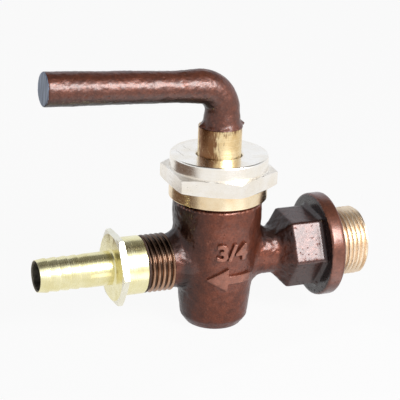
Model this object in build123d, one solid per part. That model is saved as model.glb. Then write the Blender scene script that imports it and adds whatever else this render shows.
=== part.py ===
"""Gland cock: a cast bronze plug valve with a lever handle, a packing nut and a brass hose tail.

Millimetres, +Z up the stem. Every piece is drawn about the crossing of the port axis (X) and the plug
axis (Z), then set so that the origin is the centre of the inlet flange's sealing face, +X out of the valve.
"""
import os
from math import cos, pi, radians, sin, tan

from build123d import *

# Flow passage and tapered plug
port_d = 10.0
plug_land_above = 5.5
plug_land_below = 14.0
plug_half_angle = 4.6
plug_proud = 0.5
plug_entry_gap = 0.35
plug_bottom_gap = 1.5
plug_edge = 0.6
seat_clearance = 0.05

# Stem, packing and gland
stem_d = 16.5
packing_section = 3.25
packing_count = 4
packing_clearance = 0.06
packing_washer_t = 1.5
follower_sleeve = 9.4
follower_flange_t = 2.0
follower_flange_lip = 2.1
follower_clearance = 0.1
follower_take_up = 0.9

# Body: barrel, gland neck and foot
gland_neck_wall = 3.5
gland_neck_length = 10.2
gland_neck_lead = 1.0
barrel_step = 1.9
barrel_collar = 6.5
barrel_foot_wall = 4.2
barrel_floor = 5.9
barrel_rim_edge = 0.5
foot_chamfer_h = 3.6
foot_chamfer_w = 2.7
foot_edge = 0.8

# Body: inlet neck, cast hexagon, flange and pipe thread
neck_wall = 4.0
neck_length = 7.5
neck_fillet = 5.5
neck_flare = 2.2
boss_taper_length = 5.0
boss_taper_lip = 0.8
boss_hex_af = 27.0
boss_hex_length = 12.4
boss_hex_turn = 25.9
boss_hex_edge = 0.8
boss_root_fillet = 1.4
flange_lip = 4.4
flange_thickness = 6.0
flange_edge = 0.9
inlet_thread_d = 26.44
inlet_thread_length = 13.1
inlet_thread_lead = 0.9
inlet_bore_d = 15.0
inlet_bore_cone = 45.0

# Body: outlet spigot
nipple_d = 16.66
nipple_length = 8.0
nipple_clearance = 0.05
nipple_end_gap = 1.2
spigot_wall = 2.67
spigot_neck_step = 0.6
spigot_neck_length = 4.5
spigot_neck_fillet = 4.0
spigot_thread_length = 10.3
spigot_lead = 0.5

# Hose adapter and its washer
adapter_washer_t = 0.6
adapter_washer_inset = 0.15
adapter_collar_length = 8.9
adapter_collar_edge = 0.35
adapter_hex_af = 25.6
adapter_hex_t = 2.7
adapter_hex_chamfer = 0.5
tail_shank_d = 12.9
tail_shank_length = 9.8
tail_root_fillet = 0.8
barb_count = 5
barb_pitch = 3.9
barb_land = 0.6
barb_depth = 0.45
tail_bore_d = 10.6
tail_mouth = 0.45

# Packing nut
nut_clearance = 0.05
nut_wall = 3.55
nut_flat_step = 0.7
nut_take_up = 1.2
nut_roof = 5.0
nut_ring_h = 5.2
nut_hex_h = 6.15
nut_hex_chamfer = 0.7
nut_top_edge = 0.6
nut_foot_edge = 0.4
nut_stem_clearance = 0.3
nut_hole_chamfer = 0.75

# Handle, cast in one with the plug
stem_show = 10.6
leg_offset = 0.5
leg_d = 14.3
leg_length = 6.0
leg_flare_d = 16.2
leg_flare_h = 1.4
bend_radius = 10.0
bend_d = 13.0
bar_waist_d = 11.8
bar_waist_run = 10.0
bar_end_d = 12.9
bar_end_edge = 0.35
handle_rise = 3.4
handle_reach = 69.3

# Radii and heights that follow from the sizes above
port_r = port_d / 2
stem_r = stem_d / 2
chamber_r = stem_r + packing_section
gland_neck_r = chamber_r + gland_neck_wall
barrel_r = gland_neck_r + barrel_step
nut_bore_r = gland_neck_r + nut_clearance
nut_collar_r = nut_bore_r + nut_wall
nut_hex_af = 2 * (nut_collar_r + nut_flat_step)

plug_top_z = port_r + plug_land_above
plug_bottom_z = -(port_r + plug_land_below)
plug_top_r = chamber_r - plug_entry_gap
plug_bottom_r = plug_top_r - (plug_top_z - plug_bottom_z) * tan(radians(plug_half_angle))
chamber_floor_z = plug_top_z - plug_proud
seat_bottom_z = plug_bottom_z - plug_bottom_gap
barrel_bottom_z = seat_bottom_z - barrel_floor

packing_bottom_z = plug_top_z + packing_washer_t
packing_top_z = packing_bottom_z + packing_count * packing_section
follower_flange_z = packing_top_z + follower_sleeve
follower_top_z = follower_flange_z + follower_flange_t
gland_neck_top_z = follower_flange_z - follower_take_up
barrel_shoulder_z = gland_neck_top_z - gland_neck_length
nut_top_z = follower_top_z + nut_roof
nut_bottom_z = barrel_shoulder_z + nut_take_up
nut_hex_top_z = nut_top_z - nut_ring_h
stem_top_z = nut_top_z + stem_show

barrel_taper_z = barrel_shoulder_z - barrel_collar
foot_r = plug_bottom_r + barrel_foot_wall
foot_z = barrel_bottom_z + foot_chamfer_h
barrel_taper = (barrel_r - foot_r) / (barrel_taper_z - foot_z)
barrel_side = barrel_r - barrel_taper * barrel_taper_z

neck_r = port_r + neck_wall
boss_corner_r = boss_hex_af / 2 / cos(pi / 6)
boss_taper_x = barrel_side + neck_length
boss_hex_x = boss_taper_x + boss_taper_length
flange_x = boss_hex_x + boss_hex_length
flange_r = boss_corner_r + flange_lip
inlet_face_x = flange_x + flange_thickness
inlet_end_x = inlet_face_x + inlet_thread_length

nipple_r = nipple_d / 2
spigot_r = nipple_r + spigot_wall
spigot_neck_r = spigot_r - spigot_neck_step
spigot_thread_x = -(barrel_side + spigot_neck_length)
spigot_end_x = spigot_thread_x - spigot_thread_length
socket_r = nipple_r + nipple_clearance
socket_floor_x = spigot_end_x + nipple_length + nipple_end_gap

collar_x = spigot_end_x - adapter_washer_t
adapter_hex_x = collar_x - adapter_collar_length
tail_x = adapter_hex_x - adapter_hex_t
barbs_x = tail_x - tail_shank_length
tail_end_x = barbs_x - barb_count * barb_pitch


def turned(profile, axis):
    """A solid of revolution from a closed outline in the XZ plane."""
    return revolve(make_face(Plane.XZ * profile), axis)


def ring(inner_r, outer_r, bottom_z, height):
    """A plain ring round the plug axis."""
    outline = Pos(inner_r, bottom_z) * Rectangle(outer_r - inner_r, height, align=(Align.MIN, Align.MIN))
    return revolve(Plane.XZ * outline, Axis.Z)


def hexagon_along_x(across_flats, start_x, length, turn):
    """A hexagon bar on the port axis with one corner turned from +Z towards the back."""
    section = RegularPolygon(across_flats / 2, 6, major_radius=False, rotation=90 - turn)
    return Pos(start_x, 0, 0) * extrude(Plane.YZ * section, length)


def plug_radius(z):
    """Radius of the plug's taper at a height."""
    return plug_top_r - (plug_top_z - z) * tan(radians(plug_half_angle))


def barrel_casting():
    """Outside of the barrel with its closed foot, and the neck that carries the packing nut."""
    outline = Polyline(
        (0, barrel_bottom_z),
        (foot_r - foot_chamfer_w, barrel_bottom_z),
        (foot_r, foot_z),
        (barrel_r, barrel_taper_z),
        (barrel_r, barrel_shoulder_z),
        (gland_neck_r, barrel_shoulder_z),
        (gland_neck_r, gland_neck_top_z - gland_neck_lead),
        (gland_neck_r - gland_neck_lead, gland_neck_top_z),
        (0, gland_neck_top_z),
        close=True,
    )
    barrel = turned(outline, Axis.Z)
    circles = barrel.edges().filter_by(GeomType.CIRCLE)
    foot = circles.filter_by_position(Axis.Z, barrel_bottom_z, foot_z)
    barrel = fillet(foot, foot_edge)
    at_shoulder = barrel.edges().filter_by(GeomType.CIRCLE).filter_by_position(
        Axis.Z, barrel_shoulder_z, barrel_shoulder_z
    )
    return fillet(at_shoulder.sort_by(SortBy.RADIUS)[-1], barrel_rim_edge)


def rounded_hexagon(across_flats, x):
    """Section of the cast hexagon at a place on the port axis, with its corners rounded."""
    section = RegularPolygon(across_flats / 2, 6, major_radius=False, rotation=90 - boss_hex_turn)
    return Plane.YZ.offset(x) * fillet(section.vertices(), boss_hex_edge)


def inlet_boss():
    """Cast hexagon with its faceted end over the flared neck, the flange and the pipe thread's plain pin."""
    taper_start_af = 2 * (neck_r + boss_taper_lip) * cos(pi / 6)
    faceted_end = loft(
        [rounded_hexagon(taper_start_af, boss_taper_x), rounded_hexagon(boss_hex_af, boss_hex_x)], ruled=True
    )
    flare_outline = Polyline(
        (boss_taper_x, 0),
        (boss_taper_x, neck_r),
        (boss_hex_x, neck_r + neck_flare),
        (boss_hex_x, 0),
        close=True,
    )
    faceted_end += turned(flare_outline, Axis.X)
    hexagon = extrude(rounded_hexagon(boss_hex_af, boss_hex_x), boss_hex_length + flange_thickness / 2)
    flange = Pos(flange_x, 0, 0) * extrude(Plane.YZ * Circle(flange_r), flange_thickness)
    flange = fillet(flange.edges().filter_by(GeomType.CIRCLE), flange_edge)
    joined = hexagon + flange
    joined = fillet(new_edges(hexagon, flange, combined=joined), boss_root_fillet)
    pin = Pos(inlet_face_x, 0, 0) * extrude(Plane.YZ * Circle(inlet_thread_d / 2), inlet_thread_length)
    tip = pin.edges().filter_by(GeomType.CIRCLE).sort_by(Axis.X)[-1]
    return faceted_end + joined + chamfer(tip, inlet_thread_lead)


def spigot_pin():
    """Plain pin of the spigot's thread, with a run-out towards the barrel."""
    outline = Polyline(
        (spigot_thread_x, 0),
        (spigot_thread_x, spigot_neck_r),
        (spigot_thread_x - spigot_neck_step, spigot_r),
        (spigot_end_x + spigot_lead, spigot_r),
        (spigot_end_x, spigot_r - spigot_lead),
        (spigot_end_x, 0),
        close=True,
    )
    return turned(outline, Axis.X)


def body_hollows():
    """Tapered seat, packing chamber, straight passage, spigot socket and inlet bore."""
    seat = Polyline(
        (0, seat_bottom_z),
        (plug_radius(seat_bottom_z) + seat_clearance, seat_bottom_z),
        (plug_radius(chamber_floor_z) + seat_clearance, chamber_floor_z),
        (chamber_r, chamber_floor_z),
        (chamber_r, gland_neck_top_z),
        (0, gland_neck_top_z),
        close=True,
    )
    inlet_bore_r = inlet_bore_d / 2
    bore_cone_x = boss_hex_x - (inlet_bore_r - port_r) / tan(radians(inlet_bore_cone))
    passage = Polyline(
        (spigot_end_x, 0),
        (spigot_end_x, socket_r),
        (socket_floor_x, socket_r),
        (socket_floor_x, port_r),
        (bore_cone_x, port_r),
        (boss_hex_x, inlet_bore_r),
        (inlet_end_x, inlet_bore_r),
        (inlet_end_x, 0),
        close=True,
    )
    return turned(seat, Axis.Z) + turned(passage, Axis.X)


def valve_body():
    """The whole bronze casting: barrel, two filleted necks, inlet boss and spigot, bored out."""
    barrel = barrel_casting()
    inlet_neck = extrude(Plane.YZ * Circle(neck_r), flange_x)
    with_inlet = barrel + inlet_neck
    with_inlet = fillet(new_edges(barrel, inlet_neck, combined=with_inlet), neck_fillet)
    spigot_neck = extrude(Plane.YZ * Circle(spigot_neck_r), spigot_thread_x)
    with_necks = with_inlet + spigot_neck
    with_necks = fillet(new_edges(with_inlet, spigot_neck, combined=with_necks), spigot_neck_fillet)
    return with_necks + inlet_boss() + spigot_pin() - body_hollows()


def plug_and_handle():
    """One casting: tapered plug with its cross port, turned stem, leg, bend and bar."""
    plug_outline = Polyline(
        (0, plug_bottom_z),
        (plug_bottom_r - plug_edge, plug_bottom_z),
        (plug_radius(plug_bottom_z + plug_edge), plug_bottom_z + plug_edge),
        (plug_radius(plug_top_z), plug_top_z),
        (stem_r, plug_top_z),
        (stem_r, stem_top_z),
        (0, stem_top_z),
        close=True,
    )
    port = extrude(Plane.YZ * Circle(port_r), plug_top_r, both=True)
    stem = turned(plug_outline, Axis.Z) - port

    bend_z = stem_top_z + leg_length
    leg_outline = Polyline(
        (0, stem_top_z),
        (leg_flare_d / 2, stem_top_z),
        (leg_d / 2, stem_top_z + leg_flare_h),
        (bend_d / 2, bend_z),
        (0, bend_z),
        close=True,
    )
    leg = Pos(leg_offset, 0, 0) * turned(leg_outline, Axis.Z)

    bend_axis = Axis((leg_offset - bend_radius, 0, bend_z), (0, -1, 0))
    bend = revolve(Pos(leg_offset, 0, bend_z) * Circle(bend_d / 2), bend_axis, 90 - handle_rise)

    rise = radians(handle_rise)
    bar_start_x = leg_offset - bend_radius + bend_radius * sin(rise)
    bar_start_z = bend_z + bend_radius * cos(rise)
    bar_length = (handle_reach + bar_start_x) / cos(rise)
    bar_outline = Polyline(
        (0, 0),
        (bend_d / 2, 0),
        (bar_waist_d / 2, bar_waist_run),
        (bar_end_d / 2, bar_length - bar_end_edge),
        (bar_end_d / 2 - bar_end_edge, bar_length),
        (0, bar_length),
        close=True,
    )
    along_bar = Plane((bar_start_x, 0, bar_start_z), x_dir=(0, 1, 0), z_dir=(-cos(rise), 0, sin(rise)))
    bar = along_bar * turned(bar_outline, Axis.Z)
    return stem + leg + bend + bar


def packing_stack():
    """Packing washer on the plug's shoulder and the square packing rings above it."""
    inner_r = stem_r + packing_clearance
    outer_r = chamber_r - packing_clearance
    stack = {"packing_washer": ring(inner_r, outer_r, plug_top_z, packing_washer_t)}
    for index in range(packing_count):
        bottom_z = packing_bottom_z + index * packing_section
        stack[f"packing_ring_{index + 1}"] = ring(inner_r, outer_r, bottom_z, packing_section)
    return stack


def gland_follower():
    """Flanged bush that the nut's roof presses down on the packing."""
    inner_r = stem_r + follower_clearance
    outer_r = chamber_r - follower_clearance
    sleeve = ring(inner_r, outer_r, packing_top_z, follower_sleeve)
    return sleeve + ring(inner_r, outer_r + follower_flange_lip, follower_flange_z, follower_flange_t)


def packing_nut():
    """Turned hexagon nut: foot collar, coned hexagon, plain top ring, stem hole and bore for the gland neck."""
    collar_outline = Polyline(
        (0, nut_bottom_z),
        (nut_collar_r - nut_foot_edge, nut_bottom_z),
        (nut_collar_r, nut_bottom_z + nut_foot_edge),
        (nut_collar_r, nut_top_z),
        (0, nut_top_z),
        close=True,
    )
    collar = turned(collar_outline, Axis.Z)
    collar = fillet(collar.edges().filter_by(GeomType.CIRCLE).sort_by(Axis.Z)[-1], nut_top_edge)

    hex_bottom_z = nut_hex_top_z - nut_hex_h
    corner_r = nut_hex_af / 2 / cos(pi / 6)
    chamfer_start_r = nut_hex_af / 2
    hexagon = Pos(0, 0, hex_bottom_z) * extrude(
        RegularPolygon(nut_hex_af / 2, 6, major_radius=False, rotation=90), nut_hex_h
    )
    rounded = Polyline(
        (0, hex_bottom_z),
        (chamfer_start_r, hex_bottom_z),
        (corner_r, hex_bottom_z + nut_hex_chamfer),
        (corner_r, nut_hex_top_z - nut_hex_chamfer),
        (chamfer_start_r, nut_hex_top_z),
        (0, nut_hex_top_z),
        close=True,
    )
    hexagon = hexagon & turned(rounded, Axis.Z)

    hole_r = stem_r + nut_stem_clearance
    hollow_outline = Polyline(
        (0, nut_bottom_z),
        (nut_bore_r, nut_bottom_z),
        (nut_bore_r, follower_top_z),
        (hole_r, follower_top_z),
        (hole_r, nut_top_z - nut_hole_chamfer),
        (hole_r + nut_hole_chamfer, nut_top_z),
        (0, nut_top_z),
        close=True,
    )
    return collar + hexagon - turned(hollow_outline, Axis.Z)


def hose_tail_outline():
    """Outside of the hose tail from the mouth back to the hexagon: saw-tooth ridges, then a plain shank."""
    crest_r = tail_shank_d / 2
    root_r = crest_r - barb_depth
    points = [(tail_end_x, 0)]
    for index in range(barb_count):
        mouth_side_x = tail_end_x + index * barb_pitch
        points += [
            (mouth_side_x, root_r),
            (mouth_side_x + barb_pitch - barb_land, crest_r),
            (mouth_side_x + barb_pitch, crest_r),
        ]
    hexagon_middle_x = tail_x + adapter_hex_t / 2
    points += [(hexagon_middle_x, crest_r), (hexagon_middle_x, 0)]
    return Polyline(*points, close=True)


def hose_adapter():
    """Turned brass: hose tail, thin hexagon, collar and the nipple screwed into the spigot."""
    tail = turned(hose_tail_outline(), Axis.X)
    corner_r = adapter_hex_af / 2 / cos(pi / 6)
    rounded = Polyline(
        (tail_x, 0),
        (tail_x, corner_r - adapter_hex_chamfer),
        (tail_x + adapter_hex_chamfer, corner_r),
        (adapter_hex_x - adapter_hex_chamfer, corner_r),
        (adapter_hex_x, corner_r - adapter_hex_chamfer),
        (adapter_hex_x, 0),
        close=True,
    )
    corner_to_front = 90
    hexagon = hexagon_along_x(adapter_hex_af, tail_x, adapter_hex_t, corner_to_front)
    hexagon = hexagon & turned(rounded, Axis.X)
    nipple_end_x = spigot_end_x + nipple_length
    inner_side = Polyline(
        (adapter_hex_x, 0),
        (adapter_hex_x, spigot_r),
        (collar_x - adapter_collar_edge, spigot_r),
        (collar_x, spigot_r - adapter_collar_edge),
        (collar_x, nipple_r),
        (nipple_end_x, nipple_r),
        (nipple_end_x, 0),
        close=True,
    )
    bore_r = tail_bore_d / 2
    bore = Polyline(
        (tail_end_x, 0),
        (tail_end_x, bore_r + tail_mouth),
        (tail_end_x + tail_mouth, bore_r),
        (nipple_end_x, bore_r),
        (nipple_end_x, 0),
        close=True,
    )
    outside = tail + hexagon
    root = new_edges(tail, hexagon, combined=outside)
    outside = fillet(root, tail_root_fillet)
    return outside + turned(inner_side, Axis.X) - turned(bore, Axis.X)


def adapter_washer():
    """Thin fibre washer between the collar and the end of the spigot."""
    outline = Polyline(
        (collar_x, nipple_r + nipple_clearance),
        (collar_x, spigot_r - adapter_washer_inset),
        (spigot_end_x, spigot_r - adapter_washer_inset),
        (spigot_end_x, nipple_r + nipple_clearance),
        close=True,
    )
    return turned(outline, Axis.X)


pieces = {
    "valve_body": valve_body(),
    "plug_and_handle": plug_and_handle(),
    **packing_stack(),
    "gland_follower": gland_follower(),
    "packing_nut": packing_nut(),
    "hose_adapter": hose_adapter(),
    "adapter_washer": adapter_washer(),
}

os.makedirs("parts", exist_ok=True)
for name, piece in pieces.items():
    export_step(Pos(-inlet_face_x, 0, 0) * piece, f"parts/{name}.step")
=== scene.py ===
"""Looks of a gland cock: a cast bronze plug valve with a lever handle, a packing nut and a brass hose tail.

Metres, +Z up the stem, +X out of the threaded inlet. The port axis is the X axis of the frame.
"""
import math

import bmesh
import bpy
from mathutils import Matrix, Vector, noise
from mathutils.bvhtree import BVHTree


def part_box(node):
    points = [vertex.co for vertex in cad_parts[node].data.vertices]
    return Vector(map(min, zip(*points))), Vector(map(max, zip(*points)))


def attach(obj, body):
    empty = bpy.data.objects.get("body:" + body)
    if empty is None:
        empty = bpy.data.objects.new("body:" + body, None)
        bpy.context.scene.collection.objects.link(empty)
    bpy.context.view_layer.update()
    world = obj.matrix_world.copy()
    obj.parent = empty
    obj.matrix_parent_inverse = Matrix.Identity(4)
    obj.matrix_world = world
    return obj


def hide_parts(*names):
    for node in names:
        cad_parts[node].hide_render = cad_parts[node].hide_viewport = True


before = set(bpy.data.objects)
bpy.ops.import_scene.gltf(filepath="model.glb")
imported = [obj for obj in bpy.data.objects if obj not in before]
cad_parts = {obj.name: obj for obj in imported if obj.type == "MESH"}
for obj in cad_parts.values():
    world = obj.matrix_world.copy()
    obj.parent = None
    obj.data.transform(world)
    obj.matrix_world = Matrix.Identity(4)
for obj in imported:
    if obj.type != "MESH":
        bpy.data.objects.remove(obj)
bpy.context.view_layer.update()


# Valve body: one bronze sand casting, with a barrel, two necks, a cast hexagon and a flange.
# The sand leaves an uneven, pitted skin under brown lacquer; the bores and end faces are machined.
mm = 0.001
body_low, body_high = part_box("valve_body")
nut_low, nut_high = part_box("packing_nut")
adapter_low, adapter_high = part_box("hose_adapter")
plug_x = (nut_low.x + nut_high.x) / 2
spigot_end_x = body_low.x
spigot_thread_x = spigot_end_x + 10.3 * mm
inlet_end_x = body_high.x

spigot_crest_r = 11.0 * mm
spigot_pitch = 2.0 * mm
spigot_depth = 1.1 * mm
inlet_crest_r = 13.22 * mm
inlet_pitch = 1.814 * mm
inlet_depth = 1.05 * mm

body_voxel = 0.505 * mm
body_bore_r = 8.8 * mm
chamber_r = 12.0 * mm
seat_low_z = -21 * mm
foot_top_z = body_low.z + 0.3 * mm
hexagon_x = -18.4 * mm
neck_reach = 12.5 * mm


def merged_copy(node_name):
    """A node's solid as one connected mesh."""
    solid = bmesh.new()
    solid.from_mesh(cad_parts[node_name].data)
    bmesh.ops.remove_doubles(solid, verts=solid.verts, dist=0.001 * mm)
    return solid


def as_object(solid, name):
    """A mesh object at the origin from a finished bmesh."""
    mesh = bpy.data.meshes.new(name)
    solid.to_mesh(mesh)
    solid.free()
    piece = bpy.data.objects.new(name, mesh)
    bpy.context.scene.collection.objects.link(piece)
    return piece


def even_grid(solid, voxel):
    """The same form on an even grid of small faces, which rounds its edges by about a voxel."""
    rough = as_object(solid, "rough")
    grid = rough.modifiers.new("grid", "REMESH")
    grid.mode = "VOXEL"
    grid.voxel_size = voxel
    depsgraph = bpy.context.evaluated_depsgraph_get()
    mesh = bpy.data.meshes.new_from_object(rough.evaluated_get(depsgraph))
    bpy.data.objects.remove(rough)
    even = bmesh.new()
    even.from_mesh(mesh)
    bpy.data.meshes.remove(mesh)
    return even


def sand_cast(solid, skin_share, smooth_rounds):
    """Rounds a casting and raises the marks of the sand on it: swells, grain and blow-holes."""
    swell_size = 6.0 * mm
    swell_height = 0.11 * mm
    grain_size = 1.5 * mm
    grain_height = 0.09 * mm
    hole_spacing = 5.0 * mm
    hole_radius = 0.11
    hole_depth = 0.25 * mm
    for _ in range(smooth_rounds):
        bmesh.ops.smooth_vert(
            solid, verts=solid.verts, factor=0.5, use_axis_x=True, use_axis_y=True, use_axis_z=True
        )
    solid.normal_update()
    moves = []
    for vert in solid.verts:
        share = skin_share(vert.co)
        if share == 0:
            continue
        swell = noise.noise(vert.co / swell_size) * swell_height
        grain = noise.fractal(vert.co / grain_size, 0.9, 2.1, 3) * grain_height
        to_hole = noise.voronoi(vert.co / hole_spacing)[0][0]
        hole = max(0.0, 1 - (to_hole / hole_radius) ** 2) * hole_depth
        moves.append((vert, vert.normal * ((swell + grain - hole) * share)))
    for vert, move in moves:
        vert.co += move
    solid.normal_update()


def body_skin_share(point):
    """How much cast skin a point of the body has: none in the bores, on the pins and under the foot."""
    from_port = math.hypot(point.y, point.z)
    from_plug = math.hypot(point.x - plug_x, point.y)
    if from_port < body_bore_r or point.x > -0.4 * mm or point.x < spigot_thread_x:
        return 0
    if from_plug < chamber_r and point.z > seat_low_z:
        return 0
    if point.z < foot_top_z or point.z > nut_low.z:
        return 0
    if point.x > hexagon_x:
        return 0.2
    return 1.6 if abs(point.x - plug_x) > neck_reach else 1


def narrow_pin(solid, beyond_x, crest_r, core_r, side):
    """Takes a plain pin down to the core of its thread."""
    for vert in solid.verts:
        from_port = math.hypot(vert.co.y, vert.co.z)
        on_pin = (vert.co.x - beyond_x) * side > -0.01 * mm and core_r < from_port < crest_r + 0.05 * mm
        if on_pin:
            vert.co.yz = vert.co.yz * (core_r / from_port)


def ease_seat(solid, gap):
    """Opens the plug's seat and the packing chamber by a hair, so that the plug turns clear of the grid."""
    for vert in solid.verts:
        spoke = Vector((vert.co.x - plug_x, vert.co.y, 0))
        if 0 < spoke.length < chamber_r and vert.co.z > seat_low_z:
            vert.co += spoke.normalized() * gap


spigot_core_r = spigot_crest_r - spigot_depth
inlet_core_r = inlet_crest_r - inlet_depth
casting = merged_copy("valve_body")
narrow_pin(casting, spigot_thread_x, spigot_crest_r, spigot_core_r, -1)
narrow_pin(casting, 0, inlet_crest_r, inlet_core_r, 1)
casting = even_grid(casting, body_voxel)
sand_cast(casting, body_skin_share, 3)
ease_seat(casting, 0.12 * mm)
body_surface = BVHTree.FromBMesh(casting)


def add_node(tree, kind, inputs=None, **settings):
    """Adds a node, sets its properties, and fills or links its inputs."""
    node = tree.nodes.new(kind)
    for key, value in settings.items():
        setattr(node, key, value)
    for key, value in (inputs or {}).items():
        if isinstance(value, bpy.types.NodeSocket):
            tree.links.new(value, node.inputs[key])
        else:
            node.inputs[key].default_value = value
    return node


def calc(tree, operation, first, second=0.0):
    """The result of one sum on two values."""
    return add_node(tree, "ShaderNodeMath", {0: first, 1: second}, operation=operation).outputs[0]


def spread(tree, value, low, high, to_low=0.0, to_high=1.0):
    """A value taken from one range to another, held at its ends."""
    limits = {"Value": value, "From Min": low, "From Max": high, "To Min": to_low, "To Max": to_high}
    return add_node(tree, "ShaderNodeMapRange", limits).outputs[0]


def mix_colours(tree, share, first, second):
    """A colour between two others."""
    node = add_node(tree, "ShaderNodeMix", {0: share, 6: first, 7: second}, data_type="RGBA")
    return node.outputs[2]


def new_group(name, inputs, outputs):
    """An empty shader node group with named sockets; returns it with its two end nodes."""
    group = bpy.data.node_groups.new(name, "ShaderNodeTree")
    for socket_name, kind in inputs.items():
        group.interface.new_socket(name=socket_name, in_out="INPUT", socket_type="NodeSocket" + kind)
    for socket_name, kind in outputs.items():
        group.interface.new_socket(name=socket_name, in_out="OUTPUT", socket_type="NodeSocket" + kind)
    start = group.nodes.new("NodeGroupInput")
    end = group.nodes.new("NodeGroupOutput")
    return group, start, end


def new_material(name):
    """A material with its shader and the piece's own coordinates."""
    material = bpy.data.materials.new(name)
    material.use_nodes = True
    tree = material.node_tree
    shader = tree.nodes["Principled BSDF"]
    place = add_node(tree, "ShaderNodeTexCoord").outputs["Object"]
    return material, tree, shader, place


def place_group(tree, group, inputs):
    """Puts a node group in a material with its own values."""
    return add_node(tree, "ShaderNodeGroup", inputs, node_tree=group).outputs


def sand_skin_group():
    """Fine marks of the sand: cloudy tone, dark specks, and the height of the grain."""
    group, start, end = new_group(
        "sand_skin",
        {"Vector": "Vector", "Grain": "Float"},
        {"Tone": "Float", "Specks": "Float", "Height": "Float"},
    )
    at = start.outputs["Vector"]
    cloud = add_node(
        group, "ShaderNodeTexNoise", {"Vector": at, "Scale": 330.0, "Detail": 7.0, "Roughness": 0.72}
    )
    grain = add_node(
        group, "ShaderNodeTexNoise",
        {"Vector": at, "Scale": start.outputs["Grain"], "Detail": 3.0, "Roughness": 0.6},
    )
    cells = add_node(group, "ShaderNodeTexVoronoi", {"Vector": at, "Scale": 620.0, "Randomness": 1.0})
    dots = spread(group, cells.outputs["Distance"], 0.06, 0.30, 1.0, 0.0)
    patchy = spread(group, cloud.outputs[0], 0.47, 0.64)
    specks = calc(group, "MULTIPLY", dots, patchy)
    height = calc(group, "SUBTRACT", grain.outputs[0], calc(group, "MULTIPLY", specks, 0.7))
    group.links.new(cloud.outputs[0], end.inputs["Tone"])
    group.links.new(specks, end.inputs["Specks"])
    group.links.new(height, end.inputs["Height"])
    return group


sand_skin = sand_skin_group()


def cast_bronze_material(name, dark, light, grain_strength, gloss):
    """Lacquered sand-cast bronze: red-brown, clouds and specks, rubbed copper edges, painted shade in
    hollows.
    """
    material, tree, shader, place = new_material(name)
    skin = place_group(tree, sand_skin, {"Vector": place, "Grain": 1600.0})
    cloud = spread(tree, skin["Tone"], 0.27, 0.73)
    brown = mix_colours(tree, cloud, dark, light)
    edge = add_node(tree, "ShaderNodeNewGeometry").outputs["Pointiness"]
    brown = mix_colours(tree, spread(tree, edge, 0.54, 0.66, 0.0, 0.2), brown, (0.50, 0.20, 0.12, 1))
    # Painted shade: the colour goes near black in the hollows, where the surface is least pointed.
    brown = mix_colours(tree, spread(tree, edge, 0.40, 0.48, 0.85, 0.0), brown, (0.020, 0.009, 0.008, 1))
    brown = mix_colours(tree, calc(tree, "MULTIPLY", skin["Specks"], 0.6), brown, (0.030, 0.014, 0.012, 1))
    flecks = spread(tree, skin["Height"], 0.50, 0.70, 0.0, 0.2)
    brown = mix_colours(tree, flecks, brown, (0.34, 0.13, 0.08, 1))
    bump = add_node(
        tree, "ShaderNodeBump",
        {"Height": skin["Height"], "Strength": grain_strength, "Distance": 0.16 * mm},
    )
    tree.links.new(brown, shader.inputs["Base Color"])
    tree.links.new(spread(tree, skin["Tone"], 0.3, 0.7, 0.46, 0.34), shader.inputs["Roughness"])
    tree.links.new(bump.outputs[0], shader.inputs["Normal"])
    tree.links.new(spread(tree, skin["Specks"], 0.0, 1.0, gloss, 0.2 * gloss), shader.inputs["Coat Weight"])
    shader.inputs["Metallic"].default_value = 0.6
    shader.inputs["Specular IOR Level"].default_value = 0.2
    shader.inputs["Specular Tint"].default_value = (0.30, 0.26, 0.30, 1)
    shader.inputs["Coat Roughness"].default_value = 0.26
    shader.inputs["Coat IOR"].default_value = 1.48
    return material


cast_bronze = cast_bronze_material(
    "cast_bronze", (0.056, 0.0150, 0.0080, 1), (0.195, 0.051, 0.024, 1), 1.0, 0.62
)
hexagon_bronze = cast_bronze_material(
    "hexagon_bronze", (0.025, 0.0090, 0.0078, 1), (0.066, 0.0225, 0.0160, 1), 0.35, 0.8
)
hexagon_lacquer = hexagon_bronze.node_tree.nodes["Principled BSDF"]
hexagon_lacquer.inputs["Coat Roughness"].default_value = 0.24
hexagon_lacquer.inputs["Coat IOR"].default_value = 1.54


def pit_lacquer(material, pits_per_metre):
    """Breaks a material's clear lacquer with small dull pits."""
    tree = material.node_tree
    coat = tree.nodes["Principled BSDF"].inputs["Coat Weight"]
    place = add_node(tree, "ShaderNodeTexCoord").outputs["Object"]
    pits = add_node(tree, "ShaderNodeTexNoise", {"Vector": place, "Scale": pits_per_metre, "Detail": 1.0})
    whole = spread(tree, pits.outputs[0], 0.64, 0.71, 1.0, 0.12)
    tree.links.new(calc(tree, "MULTIPLY", coat.links[0].from_socket, whole), coat)


pit_lacquer(hexagon_bronze, 900.0)


def own_axes(tree):
    """The piece's own X, Y and Z."""
    place = add_node(tree, "ShaderNodeTexCoord").outputs["Object"]
    return add_node(tree, "ShaderNodeSeparateXYZ", {"Vector": place}).outputs


def lay_colour(material, share, colour):
    """Lays another colour over a material's own: real lacquer films, and also painted shade and reflection.
    """
    tree = material.node_tree
    target = tree.nodes["Principled BSDF"].inputs["Base Color"]
    tree.links.new(mix_colours(tree, share, target.links[0].from_socket, colour), target)


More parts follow.
